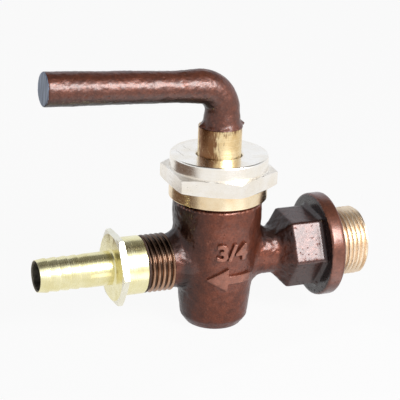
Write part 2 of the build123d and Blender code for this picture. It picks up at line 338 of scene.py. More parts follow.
def painted_body_shade(tree):
    """Painted shade on the body: the outlet side of the barrel, the tops of the necks and the inlet cone.
    """
    axes = own_axes(tree)
    across = axes["X"]
    side = spread(tree, across, plug_x - 14.5 * mm, plug_x - 8 * mm, 0.8, 0.0)
    side = calc(tree, "MULTIPLY", side, spread(tree, across, plug_x - 20 * mm, plug_x - 16 * mm, 0.2, 1.0))
    off_axis = calc(tree, "ABSOLUTE", calc(tree, "SUBTRACT", across, plug_x))
    neck = spread(tree, off_axis, 14.5 * mm, 17 * mm)
    top = calc(tree, "MULTIPLY", neck, spread(tree, axes["Z"], 2 * mm, 7 * mm, 0.0, 0.85))
    cone = spread(tree, across, hexagon_x - 6.5 * mm, hexagon_x - 1.5 * mm, 0.0, 0.6)
    return calc(tree, "MAXIMUM", calc(tree, "MAXIMUM", side, top), cone)


def flange_corner_shade(tree):
    """Painted shade in the corner between the hexagon and the flange."""
    across = own_axes(tree)["X"]
    return spread(tree, across, -9.0 * mm, -6.4 * mm, 0.0, 0.6)


# Near-black laid over the lacquer as painted shade and painted dark reflection.
painted_shade_black = (0.012, 0.007, 0.006, 1)
# Painted shade darkens the outlet side of the barrel, the tops of the necks and the inlet cone.
lay_colour(cast_bronze, painted_body_shade(cast_bronze.node_tree), painted_shade_black)
# Painted shade in the corner between the hexagon and the flange.
lay_colour(hexagon_bronze, flange_corner_shade(hexagon_bronze.node_tree), painted_shade_black)
body_casting = as_object(casting, "body_casting")
body_casting.data.materials.append(cast_bronze)
body_casting.data.materials.append(hexagon_bronze)
for face in body_casting.data.polygons:
    if face.center.x > hexagon_x:
        face.material_index = 1
body_casting.data.shade_smooth()
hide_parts("valve_body")
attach(body_casting, "valve")


# Raised casting marks on the front of the barrel: a flow arrow and the pipe thread's size above it.
# They are cut into the mould, so they come out soft-edged and in one with the casting.
mark_height = 1.2 * mm
mark_sink = 0.5 * mm
mark_voxel = 0.2 * mm
arrow_z = -4.2 * mm
size_z = 6.8 * mm


def flow_arrow(length, shaft, head_length, head_width):
    """A flat arrow in the XY plane that points to -X, as thick as a mark with its root."""
    solid = bmesh.new()
    half = length / 2
    neck = head_length - half
    corners = ((-half, 0), (neck, -head_width / 2), (neck, -shaft / 2), (half, -shaft / 2))
    mirrored = [(x, -y) for x, y in reversed(corners[1:])]
    verts = [solid.verts.new((x, y, 0)) for x, y in (*corners, *mirrored)]
    face = solid.faces.new(verts)
    raised = bmesh.ops.extrude_face_region(solid, geom=[face])["geom"]
    top = [item for item in raised if isinstance(item, bmesh.types.BMVert)]
    bmesh.ops.translate(solid, vec=(0, 0, mark_height + mark_sink), verts=top)
    bmesh.ops.recalc_face_normals(solid, faces=solid.faces)
    return solid


def size_figures(words, height):
    """Plain figures in the XY plane, as thick as a mark with its root."""
    curve = bpy.data.curves.new("figures", "FONT")
    curve.body = words
    curve.size = height
    curve.align_x = "CENTER"
    curve.align_y = "CENTER"
    curve.extrude = (mark_height + mark_sink) / 2
    curve.offset = 0.38 * mm
    written = bpy.data.objects.new("figures", curve)
    bpy.context.scene.collection.objects.link(written)
    depsgraph = bpy.context.evaluated_depsgraph_get()
    mesh = bpy.data.meshes.new_from_object(written.evaluated_get(depsgraph))
    bpy.data.objects.remove(written)
    solid = bmesh.new()
    solid.from_mesh(mesh)
    bpy.data.meshes.remove(mesh)
    bmesh.ops.translate(solid, vec=(0, 0, (mark_height + mark_sink) / 2), verts=solid.verts)
    bmesh.ops.remove_doubles(solid, verts=solid.verts, dist=0.002 * mm)
    return solid


def wrap_on_barrel(solid, height):
    """Lays a flat mark on the barrel's front, its root sunk in the casting."""
    wrap_r = 15.0 * mm
    start_r = 40 * mm
    for vert in solid.verts:
        angle = vert.co.x / wrap_r
        outward = Vector((math.sin(angle), -math.cos(angle), 0))
        level = Vector((plug_x, 0, height + vert.co.y))
        hit = body_surface.ray_cast(level + outward * start_r, -outward)[0]
        vert.co = hit + outward * (vert.co.z - mark_sink)


worn_bronze = cast_bronze_material(
    "worn_bronze", (0.130, 0.042, 0.024, 1), (0.300, 0.105, 0.062, 1), 0.6, 0.9
)
cast_marks = {
    "flow_arrow": (flow_arrow(18 * mm, 3.4 * mm, 8.0 * mm, 9.6 * mm), arrow_z),
    "size_figures": (size_figures("3/4", 9.0 * mm), size_z),
}
for mark_name, (mark, mark_z) in cast_marks.items():
    mark = even_grid(mark, mark_voxel)
    wrap_on_barrel(mark, mark_z)
    sand_cast(mark, lambda point: 0.5, 3)
    piece = as_object(mark, mark_name)
    piece.data.materials.append(worn_bronze)
    piece.data.shade_smooth()
    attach(piece, "valve")


# Threads of the body: a metric thread on the outlet spigot and a pipe thread on the inlet.
# Both are cut into the casting on the lathe, so they are bare bronze with bright crests.
def screw_thread(near_x, far_x, crest_r, pitch, depth, core_r, lead, lead_at_far):
    """A threaded sleeve on the port axis: a toothed outline spun with a rise of one pitch a turn."""
    turn_steps = 96
    tooth = ((0.0, 0.0), (0.12, 0.0), (0.42, 0.94), (0.50, 1.0), (0.58, 0.94), (0.88, 0.0))
    root_r = crest_r - depth
    solid = bmesh.new()
    previous = None
    for index in range(math.ceil((far_x - near_x) / pitch) + 2):
        for along, rise in tooth:
            x = near_x + (index - 1 + along) * pitch
            vert = solid.verts.new((x, 0, root_r + rise * depth))
            if previous:
                solid.edges.new((previous, vert))
            previous = vert
    bmesh.ops.spin(
        solid, geom=solid.verts[:] + solid.edges[:], cent=(0, 0, 0), axis=(1, 0, 0),
        dvec=(pitch / turn_steps, 0, 0), angle=2 * math.pi, steps=turn_steps,
    )
    bmesh.ops.remove_doubles(solid, verts=solid.verts, dist=0.002 * mm)
    for end_x, outward in ((near_x, -1), (far_x, 1)):
        bmesh.ops.bisect_plane(
            solid, geom=solid.verts[:] + solid.edges[:] + solid.faces[:], dist=0.0001 * mm,
            plane_co=(end_x, 0, 0), plane_no=(outward, 0, 0), clear_outer=True,
        )
    free_x = far_x if lead_at_far else near_x
    for vert in solid.verts:
        from_port = math.hypot(vert.co.y, vert.co.z)
        limit = crest_r - max(0.0, lead - abs(vert.co.x - free_x))
        if from_port > limit:
            vert.co.yz = vert.co.yz * (limit / from_port)
    rims = [edge for edge in solid.edges if edge.is_boundary]
    walls = bmesh.ops.extrude_edge_only(solid, edges=rims)["geom"]
    for vert in [item for item in walls if isinstance(item, bmesh.types.BMVert)]:
        vert.co.yz = vert.co.yz * (core_r / math.hypot(vert.co.y, vert.co.z))
    bmesh.ops.bridge_loops(solid, edges=[edge for edge in solid.edges if edge.is_boundary])
    bmesh.ops.recalc_face_normals(solid, faces=solid.faces)
    return solid


def turning_group():
    """Lathe marks round the Z axis of the coordinates: rings on flat faces and on round ones."""
    group, start, end = new_group(
        "turning_marks",
        {"Vector": "Vector", "Spacing": "Float"},
        {"Rings": "Float", "Bands": "Float", "Radius": "Float"},
    )
    parts = add_node(group, "ShaderNodeSeparateXYZ", {0: start.outputs["Vector"]}).outputs
    flat = add_node(group, "ShaderNodeCombineXYZ", {"X": parts["X"], "Y": parts["Y"]}).outputs[0]
    radius = add_node(group, "ShaderNodeVectorMath", {0: flat}, operation="LENGTH").outputs["Value"]
    profile = add_node(group, "ShaderNodeCombineXYZ", {"X": radius, "Y": parts["Z"]}).outputs[0]
    fine = calc(group, "DIVIDE", 1.0, start.outputs["Spacing"])
    rings = add_node(group, "ShaderNodeTexNoise", {"Vector": profile, "Scale": fine, "Detail": 3.0})
    coarse = calc(group, "MULTIPLY", fine, 0.09)
    bands = add_node(group, "ShaderNodeTexNoise", {"Vector": profile, "Scale": coarse, "Detail": 2.0})
    group.links.new(rings.outputs[0], end.inputs["Rings"])
    group.links.new(bands.outputs[0], end.inputs["Bands"])
    group.links.new(radius, end.inputs["Radius"])
    return group


def handling_group():
    """What hands and other parts leave on bare metal: short scratches and cloudy smudges."""
    group, start, end = new_group(
        "handling_marks", {"Vector": "Vector", "Scale": "Float"}, {"Scratches": "Float", "Smudges": "Float"}
    )
    at = start.outputs["Vector"]
    size = start.outputs["Scale"]
    smudge = add_node(
        group, "ShaderNodeTexNoise", {"Vector": at, "Scale": size, "Detail": 5.0, "Roughness": 0.6}
    )
    stretched = add_node(
        group, "ShaderNodeMapping", {"Vector": at, "Rotation": (0.5, 0.3, 0.8), "Scale": (9.0, 0.7, 9.0)}
    ).outputs[0]
    lines = add_node(group, "ShaderNodeTexNoise", {"Vector": stretched, "Scale": size, "Detail": 2.0})
    scratches = spread(group, lines.outputs[0], 0.66, 0.74)
    group.links.new(scratches, end.inputs["Scratches"])
    group.links.new(smudge.outputs[0], end.inputs["Smudges"])
    return group


turning_marks = turning_group()
handling_marks = handling_group()


def turned_metal(
    name, pale, deep, rough, ring_spacing, ring_depth,
    axis_turn=(0, 0, 0), axis_place=(0, 0, 0), root_shade=None,
):
    """Bare turned metal: lathe rings, cloudy tarnish and a few scratches over a two-tone colour.

    A root_shade is painted shade in thread roots: darkest radius, radius where it ends, share of the
    colour.
    """
    material, tree, shader, place = new_material(name)
    centred = add_node(
        tree, "ShaderNodeMapping", {"Vector": place, "Location": axis_place, "Rotation": axis_turn}
    ).outputs[0]
    rings = place_group(tree, turning_marks, {"Vector": centred, "Spacing": ring_spacing})
    marks = place_group(tree, handling_marks, {"Vector": place, "Scale": 130.0})
    tone = spread(tree, marks["Smudges"], 0.36, 0.64)
    tone = calc(tree, "MULTIPLY", tone, spread(tree, rings["Bands"], 0.3, 0.7, 0.6, 1.0))
    colour = mix_colours(tree, tone, pale, deep)
    dark = tuple(0.45 * part for part in deep[:3]) + (1,)
    colour = mix_colours(tree, calc(tree, "MULTIPLY", marks["Scratches"], 0.22), colour, dark)
    # Painted shade: the colour darkens to near black towards the thread's roots.
    if root_shade:
        root_shade_share = spread(tree, rings["Radius"], root_shade[0], root_shade[1], root_shade[2], 0.0)
        colour = mix_colours(tree, root_shade_share, colour, (0.012, 0.007, 0.005, 1))
    gloss = spread(tree, rings["Rings"], 0.3, 0.7, rough * 0.8, rough * 1.25)
    gloss = calc(tree, "ADD", gloss, calc(tree, "MULTIPLY", marks["Scratches"], 0.15))
    bump = add_node(
        tree, "ShaderNodeBump", {"Height": rings["Rings"], "Strength": 0.25, "Distance": ring_depth}
    )
    tree.links.new(colour, shader.inputs["Base Color"])
    tree.links.new(gloss, shader.inputs["Roughness"])
    tree.links.new(bump.outputs[0], shader.inputs["Normal"])
    shader.inputs["Metallic"].default_value = 1.0
    return material


along_port = (0, math.radians(-90), 0)
on_plug = (-plug_x, 0, 0)
dark_bronze = turned_metal(
    "dark_bronze", (0.52, 0.32, 0.21, 1), (0.24, 0.125, 0.076, 1), 0.24, 0.25 * mm, 0.02 * mm, along_port,
    root_shade=(spigot_crest_r - spigot_depth, spigot_crest_r - 0.4 * spigot_depth, 0.85),
)
bright_bronze = turned_metal(
    "bright_bronze", (0.87, 0.73, 0.56, 1), (0.71, 0.53, 0.36, 1), 0.40, 0.25 * mm, 0.02 * mm, along_port,
    root_shade=(inlet_crest_r - 1.3 * inlet_depth, inlet_crest_r - 0.5 * inlet_depth, 0.28),
)


def flange_mist(tree):
    """Lacquer that strayed over the first turns of the inlet thread."""
    across = own_axes(tree)["X"]
    near = spread(tree, across, 0.5 * mm, 6 * mm, 0.6, 0.0)
    return calc(tree, "MULTIPLY", near, spread(tree, across, -0.5 * mm, 0.0))


def painted_thread_top(tree):
    """Painted dark reflection on the upper side of the spigot's thread."""
    return spread(tree, own_axes(tree)["Z"], 2 * mm, 8 * mm, 0.0, 0.8)


lay_colour(bright_bronze, flange_mist(bright_bronze.node_tree), (0.30, 0.12, 0.06, 1))
# Painted dark reflection over the upper side of the spigot's thread.
lay_colour(dark_bronze, painted_thread_top(dark_bronze.node_tree), painted_shade_black)

flange_bronze = cast_bronze_material(
    "flange_bronze", (0.070, 0.0220, 0.0120, 1), (0.190, 0.060, 0.032, 1), 0.4, 1.0
)
barrel_rim_z = nut_low.z - 1.2 * mm
bore_finish, rim_finish, flange_finish = 2, 3, 4
body_casting.data.materials.append(bright_bronze)
body_casting.data.materials.append(worn_bronze)
body_casting.data.materials.append(flange_bronze)
for face in body_casting.data.polygons:
    in_port = math.hypot(face.center.y, face.center.z) < body_bore_r
    near_rim = barrel_rim_z - 0.75 * mm < face.center.z < barrel_rim_z
    on_rim = near_rim and abs(face.center.x - plug_x) < 18 * mm
    on_flange = face.center.x > -5.8 * mm and math.hypot(face.center.y, face.center.z) > 15 * mm
    if in_port or face.center.x > 0.3 * mm:
        face.material_index = bore_finish
    elif on_rim and noise.noise(face.center / mm) > 0.02:
        face.material_index = rim_finish
    elif on_flange:
        face.material_index = flange_finish

spigot_thread = as_object(
    screw_thread(
        spigot_end_x, spigot_thread_x, spigot_crest_r, spigot_pitch, spigot_depth,
        spigot_core_r - 0.35 * mm, 0.5 * mm, False,
    ),
    "spigot_thread",
)
inlet_thread = as_object(
    screw_thread(
        -0.05 * mm, inlet_end_x, inlet_crest_r, inlet_pitch, inlet_depth,
        inlet_core_r - 0.35 * mm, 0.9 * mm, True,
    ),
    "inlet_thread",
)
for thread, metal in ((spigot_thread, dark_bronze), (inlet_thread, bright_bronze)):
    thread.data.materials.append(metal)
    thread.data.shade_smooth()
    thread.data.set_sharp_from_angle(angle=math.radians(50))
    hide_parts("valve_body")
    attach(thread, "valve")


# Plug and handle: one bronze casting. The plug and stem are turned bright on the lathe.
# The leg, bend and bar keep their cast skin, and the bar's free end is sawn off flat.
stem_top_z = nut_high.z + 10.6 * mm
handle_voxel = 0.38 * mm
sawn_depth = 0.35 * mm
bar_rise = math.radians(3.4)
bar_axis = Vector((-math.cos(bar_rise), 0, math.sin(bar_rise)))


def cut_at_height(solid, height, keep_above):
    """Keeps the part of a solid above or below a height and closes the cut."""
    bmesh.ops.bisect_plane(
        solid, geom=solid.verts[:] + solid.edges[:] + solid.faces[:], dist=0.001 * mm,
        plane_co=(0, 0, height), plane_no=(0, 0, 1), clear_inner=keep_above, clear_outer=not keep_above,
    )
    rim = [edge for edge in solid.edges if edge.is_boundary]
    return bmesh.ops.holes_fill(solid, edges=rim)["faces"]


lever = merged_copy("plug_and_handle")
root = cut_at_height(lever, stem_top_z + 0.05 * mm, True)
tongue = bmesh.ops.extrude_face_region(lever, geom=root)["geom"]
tongue_verts = [item for item in tongue if isinstance(item, bmesh.types.BMVert)]
bmesh.ops.delete(lever, geom=root, context="FACES_ONLY")
for vert in tongue_verts:
    vert.co = Vector((plug_x + (vert.co.x - plug_x) * 0.9, vert.co.y * 0.9, vert.co.z - 1.6 * mm))
lever = even_grid(lever, handle_voxel)
bar_end = max(vert.co.dot(bar_axis) for vert in lever.verts)


def handle_skin_share(point):
    """The cast skin covers the handle but for its sawn end and the root inside the stem."""
    if point.dot(bar_axis) > bar_end - sawn_depth or point.z < stem_top_z - 0.8 * mm:
        return 0
    return 1


def ragged_root(solid):
    """Leaves a ragged edge where the lathe tool stopped, with stubs of the mould's parting flash at +-X."""
    leg_x = plug_x + 0.5 * mm
    for vert in solid.verts:
        above = vert.co.z - stem_top_z
        out = Vector((vert.co.x - leg_x, vert.co.y, 0))
        if not -0.4 * mm < above < 2.4 * mm or out.length < 6.5 * mm:
            continue
        spoke = out.normalized()
        fade = 1 - abs(above - 0.5 * mm) / (1.9 * mm)
        ragged = noise.noise(spoke * 4.5 + Vector((0, 0, above / mm))) * 0.22 * mm
        flash = max(0.0, 1 - abs(spoke.y) / 0.30) ** 2 * 1.7 * mm
        hang = noise.noise(spoke * 6.0) * 0.35 * mm
        vert.co += spoke * ((ragged + flash) * max(0.0, fade))
        vert.co.z -= abs(hang) * max(0.0, fade)
    solid.normal_update()


def sawn_face_material():
    """The sawn end of the bar: dull blue-grey metal with slanting saw marks."""
    material, tree, shader, place = new_material("sawn_face")
    slanted = add_node(
        tree, "ShaderNodeMapping",
        {"Vector": place, "Rotation": (math.radians(38), 0, 0), "Scale": (1.0, 1.0, 0.05)},
    ).outputs[0]
    strokes = add_node(
        tree, "ShaderNodeTexNoise", {"Vector": slanted, "Scale": 1100.0, "Detail": 4.0}
    ).outputs[0]
    tone = spread(tree, strokes, 0.36, 0.64)
    colour = mix_colours(tree, tone, (0.15, 0.19, 0.28, 1), (0.42, 0.50, 0.64, 1))
    bump = add_node(tree, "ShaderNodeBump", {"Height": strokes, "Strength": 0.6, "Distance": 0.12 * mm})
    tree.links.new(colour, shader.inputs["Base Color"])
    tree.links.new(bump.outputs[0], shader.inputs["Normal"])
    shader.inputs["Metallic"].default_value = 0.35
    shader.inputs["Roughness"].default_value = 0.42
    return material


sand_cast(lever, handle_skin_share, 2)
ragged_root(lever)
for face in lever.faces:
    if face.normal.dot(bar_axis) > 0.6 and face.calc_center_median().dot(bar_axis) > bar_end - sawn_depth:
        face.material_index = 1
handle_bronze = cast_bronze_material(
    "handle_bronze", (0.036, 0.0098, 0.0056, 1), (0.150, 0.040, 0.018, 1), 1.0, 0.62
)
handle_lacquer = handle_bronze.node_tree.nodes["Principled BSDF"]
handle_lacquer.inputs["Metallic"].default_value = 0.42
handle_lacquer.inputs["Coat Roughness"].default_value = 0.32
handle_lacquer.inputs["Coat IOR"].default_value = 1.65
handle_casting = as_object(lever, "handle_casting")
handle_tree = handle_bronze.node_tree
handle_normal = add_node(handle_tree, "ShaderNodeNewGeometry").outputs["Normal"]
facing_up = add_node(handle_tree, "ShaderNodeSeparateXYZ", {"Vector": handle_normal}).outputs["Z"]
# Painted shade: the handle's colour darkens towards the faces that look down.
lay_colour(handle_bronze, spread(handle_tree, facing_up, -0.7, -0.1, 0.8, 0.0), painted_shade_black)
handle_casting.data.materials.append(handle_bronze)
handle_casting.data.materials.append(sawn_face_material())
handle_casting.data.shade_smooth()
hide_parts("plug_and_handle")
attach(handle_casting, "plug")

stem_brass = turned_metal(
    "stem_brass", (0.92, 0.76, 0.47, 1), (0.66, 0.44, 0.19, 1), 0.28, 0.16 * mm, 0.02 * mm,
    axis_place=on_plug,
)


def overspray_and_reflection(material):
    """Brown on the stem: lacquer mist below the leg, and a painted reflection of the casting down one side.
    """
    tree = material.node_tree
    place = add_node(tree, "ShaderNodeTexCoord").outputs["Object"]
    centred = add_node(tree, "ShaderNodeMapping", {"Vector": place, "Location": on_plug}).outputs[0]
    flat = add_node(
        tree, "ShaderNodeVectorMath", {0: centred, 1: (1, 1, 0)}, operation="MULTIPLY"
    ).outputs[0]
    spoke = add_node(tree, "ShaderNodeVectorMath", {0: flat}, operation="NORMALIZE").outputs[0]
    facing = add_node(
        tree, "ShaderNodeVectorMath", {0: spoke, 1: (-0.88, -0.47, 0)}, operation="DOT_PRODUCT"
    ).outputs["Value"]
    # Painted reflection: the side of the stem facing the outlet and the front is laid brown.
    reflection_side = spread(tree, facing, 0.74, 0.95)
    drawn = add_node(
        tree, "ShaderNodeVectorMath", {0: place, 1: (1, 1, 0.22)}, operation="MULTIPLY"
    ).outputs[0]
    mist = add_node(
        tree, "ShaderNodeTexNoise", {"Vector": drawn, "Scale": 1900.0, "Detail": 3.0}
    ).outputs[0]
    height = add_node(tree, "ShaderNodeSeparateXYZ", {0: place}).outputs["Z"]
    near_leg = spread(tree, height, stem_top_z - 2.6 * mm, stem_top_z + 0.3 * mm, 0.0, 0.6)
    cover = calc(tree, "MAXIMUM", reflection_side, near_leg)
    dots = spread(tree, calc(tree, "ADD", mist, calc(tree, "MULTIPLY", cover, 0.46)), 0.58, 0.86)
    lay_colour(material, calc(tree, "MULTIPLY", dots, 0.92), (0.17, 0.062, 0.024, 1))


overspray_and_reflection(stem_brass)
stem = merged_copy("plug_and_handle")
cut_at_height(stem, stem_top_z - 0.05 * mm, False)
turned_stem = as_object(stem, "turned_stem")
turned_stem.data.materials.append(stem_brass)
turned_stem.data.shade_smooth()
turned_stem.data.set_sharp_from_angle(angle=math.radians(25))
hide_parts("plug_and_handle")
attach(turned_stem, "plug")


# Gland packing, hidden round the stem: a brass washer, four rings of greased graphite yarn
# and a flanged bush. They lie loose in the body's chamber and are pressed down by the nut.
def greased_yarn_material():
    """Plaited graphite yarn: black, with a fine weave and a greasy sheen."""
    material, tree, shader, place = new_material("greased_yarn")
    weave = add_node(tree, "ShaderNodeTexVoronoi", {"Vector": place, "Scale": 900.0})
    colour = mix_colours(
        tree, weave.outputs["Distance"], (0.035, 0.034, 0.033, 1), (0.010, 0.010, 0.011, 1)
    )
    bump = add_node(
        tree, "ShaderNodeBump", {"Height": weave.outputs["Distance"], "Strength": 0.6, "Distance": 0.2 * mm}
    )
    tree.links.new(colour, shader.inputs["Base Color"])
    tree.links.new(bump.outputs[0], shader.inputs["Normal"])
    shader.inputs["Roughness"].default_value = 0.5
    return material


def repaint(node_name, material):
    """Gives a solid that is shown as it is its own finish."""
    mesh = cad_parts[node_name].data
    mesh.materials.clear()
    mesh.materials.append(material)


greased_yarn = greased_yarn_material()
for node_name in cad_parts:
    if node_name.startswith("packing_ring"):
        repaint(node_name, greased_yarn)
for node_name in ("packing_washer", "gland_follower"):
    repaint(node_name, stem_brass)


# Packing nut: turned from pale hexagon brass bar and polished, screwed over the body's gland neck.
# Its top ring and foot collar are round, and the hexagon between them has coned corners.
nut_bore_r = 15.05 * mm
nut_collar_r = 18.6 * mm
nut_flat_r = (nut_high.x - nut_low.x) / 2
nut_hex_top_z = nut_high.z - 5.2 * mm
nut_hex_low_z = nut_hex_top_z - 6.15 * mm
nut_roof_z = nut_high.z - 5.0 * mm
nut_hole_r = 8.55 * mm
turned_steps = 96
hexagon_marks = {"low_ring": 1, "low_corner": 2, "high_corner": 3, "high_ring": 4}


def spun_ring(outline, centre, axis, across):
    """A turned piece from a closed outline of (along, radius, mark) points round an axis."""
    solid = bmesh.new()
    marks = solid.verts.layers.int.new("hexagon")
    verts = []
    for along, radius, mark in outline:
        vert = solid.verts.new(Vector(centre) + Vector(axis) * along + Vector(across) * radius)
        vert[marks] = hexagon_marks.get(mark, 0)
        verts.append(vert)
    for first, second in zip(verts, verts[1:] + verts[:1]):
        solid.edges.new((first, second))
    bmesh.ops.spin(
        solid, geom=solid.verts[:] + solid.edges[:], cent=centre, axis=axis,
        angle=2 * math.pi, steps=turned_steps, use_merge=True,
    )
    bmesh.ops.remove_doubles(solid, verts=solid.verts, dist=0.002 * mm)
    bmesh.ops.recalc_face_normals(solid, faces=solid.faces)
    return solid


def raise_hexagon(solid, centre, axis, to_corner, flat_r, low, high, cone):
    """Pushes the marked rings out to a hexagon whose corners are turned down to a cone."""
    centre, axis, to_corner = Vector(centre), Vector(axis), Vector(to_corner)
    sideways = axis.cross(to_corner)
    marks = solid.verts.layers.int["hexagon"]
    corner_r = flat_r / math.cos(math.pi / 6)
    thinnest = 0.2 * mm
    for vert in solid.verts:
        mark = vert[marks]
        if mark == 0:
            continue
        offset = vert.co - centre
        angle = math.atan2(offset.dot(sideways), offset.dot(to_corner))
        hex_r = flat_r / math.cos(angle % (math.pi / 3) - math.pi / 6)
        coned = max(thinnest, cone * (hex_r - flat_r) / (corner_r - flat_r))
        along = low if mark <= hexagon_marks["low_corner"] else high
        if mark == hexagon_marks["low_corner"]:
            along += coned
        if mark == hexagon_marks["high_corner"]:
            along -= coned
        on_ring = mark in (hexagon_marks["low_ring"], hexagon_marks["high_ring"])
        radius = flat_r - 0.05 * mm if on_ring else hex_r
        spoke = to_corner * math.cos(angle) + sideways * math.sin(angle)
        vert.co = centre + axis * along + spoke * radius


def break_edges(solid, width, sharp_angle):
    """Takes the sharpness off every edge of a turned piece."""
    sharp = [edge for edge in solid.edges if edge.calc_face_angle(0) > sharp_angle]
    bmesh.ops.bevel(
        solid, geom=sharp, offset=width, offset_type="OFFSET", segments=2, profile=0.5,
        affect="EDGES", clamp_overlap=True, material=-1,
    )


nut_outline = [
    (nut_low.z, nut_bore_r, ""),
    (nut_low.z, nut_collar_r - 0.4 * mm, ""),
    (nut_low.z + 0.4 * mm, nut_collar_r, ""),
    (nut_hex_low_z, nut_collar_r, ""),
    (nut_hex_low_z, nut_flat_r, "low_ring"),
    (nut_hex_low_z + 1 * mm, nut_flat_r, "low_corner"),
    (nut_hex_top_z - 1 * mm, nut_flat_r, "high_corner"),
    (nut_hex_top_z, nut_flat_r, "high_ring"),
    (nut_hex_top_z, nut_collar_r, ""),
    (nut_high.z - 0.6 * mm, nut_collar_r, ""),
    (nut_high.z - 0.18 * mm, nut_collar_r - 0.18 * mm, ""),
    (nut_high.z, nut_collar_r - 0.6 * mm, ""),
    (nut_high.z, nut_hole_r + 0.75 * mm, ""),
    (nut_high.z - 0.75 * mm, nut_hole_r, ""),
    (nut_roof_z, nut_hole_r, ""),
    (nut_roof_z, nut_bore_r, ""),
]
nut_centre = (plug_x, 0, 0)
nut = spun_ring(nut_outline, nut_centre, (0, 0, 1), (1, 0, 0))
raise_hexagon(nut, nut_centre, (0, 0, 1), (0, 1, 0), nut_flat_r, nut_hex_low_z, nut_hex_top_z, 0.7 * mm)
break_edges(nut, 0.1 * mm, math.radians(28))
nut_polish = turned_metal(
    "nut_polish", (0.95, 0.915, 0.86, 1), (0.88, 0.81, 0.70, 1), 0.22, 0.3 * mm, 0.01 * mm,
    axis_place=on_plug,
)
# The collar's deeper gold is a painted warm reflection; the nut is one piece of pale brass.
collar_reflection_brass = turned_metal(
    "collar_reflection_brass", (0.90, 0.76, 0.54, 1), (0.78, 0.57, 0.33, 1), 0.21, 0.3 * mm, 0.01 * mm,
    axis_place=on_plug,
)
nut_shoulder = turned_metal(
    "nut_shoulder", (0.93, 0.895, 0.84, 1), (0.85, 0.78, 0.68, 1), 0.50, 0.3 * mm, 0.02 * mm,
    axis_place=on_plug,
)
for face in nut.faces:
    middle = face.calc_center_median()
    outside = math.hypot(middle.x - plug_x, middle.y) > nut_collar_r - 0.6 * mm
    if outside and middle.z < nut_hex_low_z - 0.05 * mm:
        face.material_index = 1
    elif outside and face.normal.z > 0.8 and abs(middle.z - nut_hex_top_z) < 0.5 * mm:
        face.material_index = 2
polished_nut = as_object(nut, "polished_nut")
polished_nut.data.materials.append(nut_polish)
polished_nut.data.materials.append(collar_reflection_brass)
polished_nut.data.materials.append(nut_shoulder)
polished_nut.data.shade_smooth()
polished_nut.data.set_sharp_from_angle(angle=math.radians(10))
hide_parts("packing_nut")
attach(polished_nut, "valve")


# Hose tail: turned from yellow brass bar and polished, screwed into the spigot against a thin fibre washer.
# Ridges hold the hose, and a thin hexagon takes the spanner.
washer_low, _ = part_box("adapter_washer")
tail_end_x = adapter_low.x
collar_x = washer_low.x
tail_hex_high_x = collar_x - 8.9 * mm
tail_hex_low_x = tail_hex_high_x - 2.7 * mm
tail_flat_r = (adapter_high.z - adapter_low.z) / 2
tail_crest_r = 6.45 * mm
tail_root_r = 6.0 * mm
tail_bore_r = 5.3 * mm
tail_mouth = 0.45 * mm
ridge_count = 5
ridge_pitch = 3.9 * mm
ridge_land = 0.6 * mm
nipple_r = 8.33 * mm

tail_outline = [(tail_end_x, tail_bore_r + tail_mouth, "")]
for ridge in range(ridge_count):
    ridge_x = tail_end_x + ridge * ridge_pitch
    tail_outline += [
        (ridge_x, tail_root_r, ""),
        (ridge_x + ridge_pitch - ridge_land, tail_crest_r, ""),
        (ridge_x + ridge_pitch, tail_crest_r, ""),
    ]
tail_outline += [
    (tail_hex_low_x - 0.8 * mm, tail_crest_r, ""),
    (tail_hex_low_x - 0.23 * mm, tail_crest_r + 0.23 * mm, ""),
    (tail_hex_low_x, tail_crest_r + 0.8 * mm, ""),
    (tail_hex_low_x, tail_flat_r, "low_ring"),
    (tail_hex_low_x + 1 * mm, tail_flat_r, "low_corner"),
    (tail_hex_high_x - 1 * mm, tail_flat_r, "high_corner"),
    (tail_hex_high_x, tail_flat_r, "high_ring"),
    (tail_hex_high_x, spigot_crest_r, ""),
    (collar_x - 0.35 * mm, spigot_crest_r, ""),
    (collar_x, spigot_crest_r - 0.35 * mm, ""),
    (collar_x, nipple_r, ""),
    (adapter_high.x, nipple_r, ""),
    (adapter_high.x, tail_bore_r, ""),
    (tail_end_x + tail_mouth, tail_bore_r, ""),
]
tail = spun_ring(tail_outline, (0, 0, 0), (1, 0, 0), (0, 0, 1))
raise_hexagon(tail, (0, 0, 0), (1, 0, 0), (0, 1, 0), tail_flat_r, tail_hex_low_x, tail_hex_high_x, 0.5 * mm)
break_edges(tail, 0.1 * mm, math.radians(28))
for face in tail.faces:
    middle = face.calc_center_median()
    if face.normal.yz.dot(middle.yz) < 0 and middle.yz.length < tail_bore_r + tail_mouth:
        face.material_index = 1
    if tail_hex_low_x - 0.2 * mm < middle.x < tail_hex_high_x and middle.yz.length > spigot_crest_r:
        face.material_index = 2
milled_brass = turned_metal(
    "milled_brass", (0.93, 0.91, 0.80, 1), (0.82, 0.78, 0.62, 1), 0.40, 0.3 * mm, 0.01 * mm, along_port
)
tail_polish = turned_metal(
    "tail_polish", (0.91, 0.85, 0.54, 1), (0.76, 0.67, 0.32, 1), 0.25, 0.3 * mm, 0.01 * mm, along_port
)


def drilled_bore_material():
    """The drilled bore: dull, stained, and coloured dark as painted shade inside the tube."""
    material, tree, shader, place = new_material("drilled_bore")
    stain = add_node(
        tree, "ShaderNodeTexNoise", {"Vector": place, "Scale": 420.0, "Detail": 5.0}
    ).outputs[0]
    stained = spread(tree, stain, 0.35, 0.65)
    # Painted shade: the bore's colours are dark for the shade inside the tube.
    colour = mix_colours(tree, stained, (0.10, 0.09, 0.07, 1), (0.28, 0.25, 0.19, 1))
    tree.links.new(colour, shader.inputs["Base Color"])
    tree.links.new(spread(tree, stain, 0.3, 0.7, 0.45, 0.7), shader.inputs["Roughness"])
    shader.inputs["Metallic"].default_value = 0.5
    return material


hose_tail = as_object(tail, "hose_tail")
hose_tail.data.materials.append(tail_polish)
hose_tail.data.materials.append(drilled_bore_material())
hose_tail.data.materials.append(milled_brass)
hose_tail.data.shade_smooth()
hose_tail.data.set_sharp_from_angle(angle=math.radians(12))
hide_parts("hose_adapter")
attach(hose_tail, "valve")


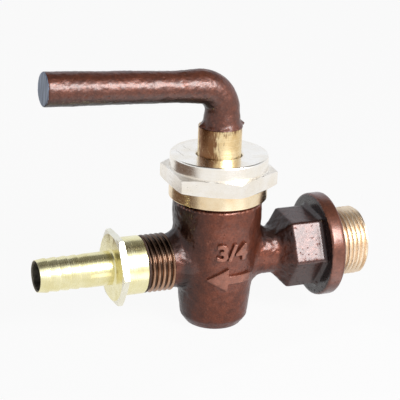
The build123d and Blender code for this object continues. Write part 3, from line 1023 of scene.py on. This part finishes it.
def fibre_material():
    """Pressed red-brown fibre with a fine mottle."""
    material, tree, shader, place = new_material("fibre")
    mottle = add_node(
        tree, "ShaderNodeTexNoise", {"Vector": place, "Scale": 1400.0, "Detail": 3.0}
    ).outputs[0]
    colour = mix_colours(tree, mottle, (0.030, 0.014, 0.010, 1), (0.075, 0.036, 0.024, 1))
    bump = add_node(tree, "ShaderNodeBump", {"Height": mottle, "Strength": 0.3, "Distance": 0.1 * mm})
    tree.links.new(colour, shader.inputs["Base Color"])
    tree.links.new(bump.outputs[0], shader.inputs["Normal"])
    shader.inputs["Roughness"].default_value = 0.8
    return material


repaint("adapter_washer", fibre_material())


# Stage: a plain pale floor, a white surround and one soft lamp in front. Three cards are seen only in
# the metal's reflections: a dim ceiling, a brown bench strip and a bright patch of table in front.
def card_object(name, width, depth, matrix):
    """A flat card of the given size."""
    sheet = bmesh.new()
    bmesh.ops.create_grid(sheet, x_segments=1, y_segments=1, size=0.5)
    bmesh.ops.scale(sheet, vec=(width, depth, 1), verts=sheet.verts)
    bmesh.ops.transform(sheet, matrix=matrix, verts=sheet.verts)
    card = as_object(sheet, name)
    return card


def background_rays(tree):
    """One where a ray comes from the camera, a glossy face or glass."""
    path = add_node(tree, "ShaderNodeLightPath").outputs
    seen = calc(tree, "MAXIMUM", path["Is Camera Ray"], path["Is Glossy Ray"])
    return calc(tree, "MAXIMUM", seen, path["Is Transmission Ray"])


floor_material, floor_tree, floor_shader, _ = new_material("floor")
floor_shader.inputs["Base Color"].default_value = (0.42, 0.42, 0.43, 1)
floor_shader.inputs["Roughness"].default_value = 0.9
glow = add_node(floor_tree, "ShaderNodeEmission", {"Color": (1, 1, 1, 1), "Strength": 1.0})
glow_share = calc(floor_tree, "MULTIPLY", background_rays(floor_tree), 0.94)
blended = add_node(floor_tree, "ShaderNodeMixShader", {0: glow_share})
floor_tree.links.new(floor_shader.outputs[0], blended.inputs[1])
floor_tree.links.new(glow.outputs[0], blended.inputs[2])
floor_tree.links.new(blended.outputs[0], floor_tree.nodes["Material Output"].inputs["Surface"])
floor = card_object("floor", 6.0, 6.0, Matrix.Translation((plug_x, 0, body_low.z)))
floor.data.materials.append(floor_material)

world = bpy.data.worlds.new("surround")
bpy.context.scene.world = world
world.use_nodes = True
world_tree = world.node_tree
world_light = world_tree.nodes["Background"]
world_light.inputs["Color"].default_value = (0.92, 0.95, 1, 1)
world_tree.links.new(
    spread(world_tree, background_rays(world_tree), 0, 1, 0.05, 1.0), world_light.inputs["Strength"]
)


def reflected_card(name, colour, width, depth, matrix):
    """A glowing card that is seen only in the metal's reflections."""
    material, tree, _, _ = new_material(name)
    shine = add_node(tree, "ShaderNodeEmission", {"Color": colour, "Strength": 1.0})
    tree.links.new(shine.outputs[0], tree.nodes["Material Output"].inputs["Surface"])
    card = card_object(name, width, depth, matrix)
    card.data.materials.append(material)
    card.visible_camera = False
    card.visible_diffuse = False
    card.visible_shadow = False
    return card


def beside_foot(azimuth, distance):
    """A place just above the floor, at an angle and a distance from the plug's axis."""
    turn = Matrix.Rotation(math.radians(azimuth), 4, "Z")
    foot = Matrix.Translation((plug_x, 0, body_low.z + 1 * mm))
    return foot @ turn @ Matrix.Translation((0, -distance, 0))


overhead = Matrix.Translation((plug_x, 0.11, 0.42))
reflected_card("ceiling_card", (0.20, 0.195, 0.185, 1), 1.2, 0.52, overhead)
reflected_card("table_patch", (2.0, 1.95, 1.95, 1), 0.10, 0.105, beside_foot(17, 0.0875))
reflected_card("bench_strip", (0.16, 0.105, 0.075, 1), 0.22, 0.32, beside_foot(-107, 0.265))


def soft_lamp(name, azimuth, elevation, distance, width, height, power):
    """A rectangular lamp aimed at the crossing of the axes."""
    lamp_data = bpy.data.lights.new(name, "AREA")
    lamp_data.shape = "RECTANGLE"
    lamp_data.size = width
    lamp_data.size_y = height
    lamp_data.energy = power
    lamp = bpy.data.objects.new(name, lamp_data)
    bpy.context.scene.collection.objects.link(lamp)
    turn = Matrix.Rotation(math.radians(azimuth), 4, "Z")
    lean = Matrix.Rotation(math.radians(90 - elevation), 4, "X")
    reach = Matrix.Translation((0, 0, distance))
    lamp.matrix_world = Matrix.Translation((plug_x, 0, 0)) @ turn @ lean @ reach
    return lamp


soft_lamp("window", 22, 33, 0.60, 0.30, 0.26, 4.9)


# Camera: a long lens at the photograph's viewing angle, in a square frame.
frame_px = 400
sensor_mm = 36.0
focal_px = 1863.9
view_distance = 0.7124
view_azimuth = math.radians(23.37)
view_elevation = math.radians(21.72)
view_roll = math.radians(2.32)
crossing_px = (215.19, 255.16)

camera_data = bpy.data.cameras.new("camera")
camera_data.sensor_width = sensor_mm
camera_data.lens = focal_px / frame_px * sensor_mm
camera = bpy.data.objects.new("camera", camera_data)
bpy.context.scene.collection.objects.link(camera)
bpy.context.scene.camera = camera
facing = (
    Matrix.Rotation(-view_azimuth, 4, "Z")
    @ Matrix.Rotation(math.pi / 2 - view_elevation, 4, "X")
    @ Matrix.Rotation(view_roll, 4, "Z")
)
aim_left = math.atan((crossing_px[0] - frame_px / 2) / focal_px)
aim_up = math.atan((crossing_px[1] - frame_px / 2) / focal_px)
stand = Matrix.Translation((plug_x, 0, 0)) @ facing @ Matrix.Translation((0, 0, view_distance))
camera.matrix_world = stand @ Matrix.Rotation(aim_left, 4, "Y") @ Matrix.Rotation(aim_up, 4, "X")

bpy.context.scene.view_settings.view_transform = "Standard"
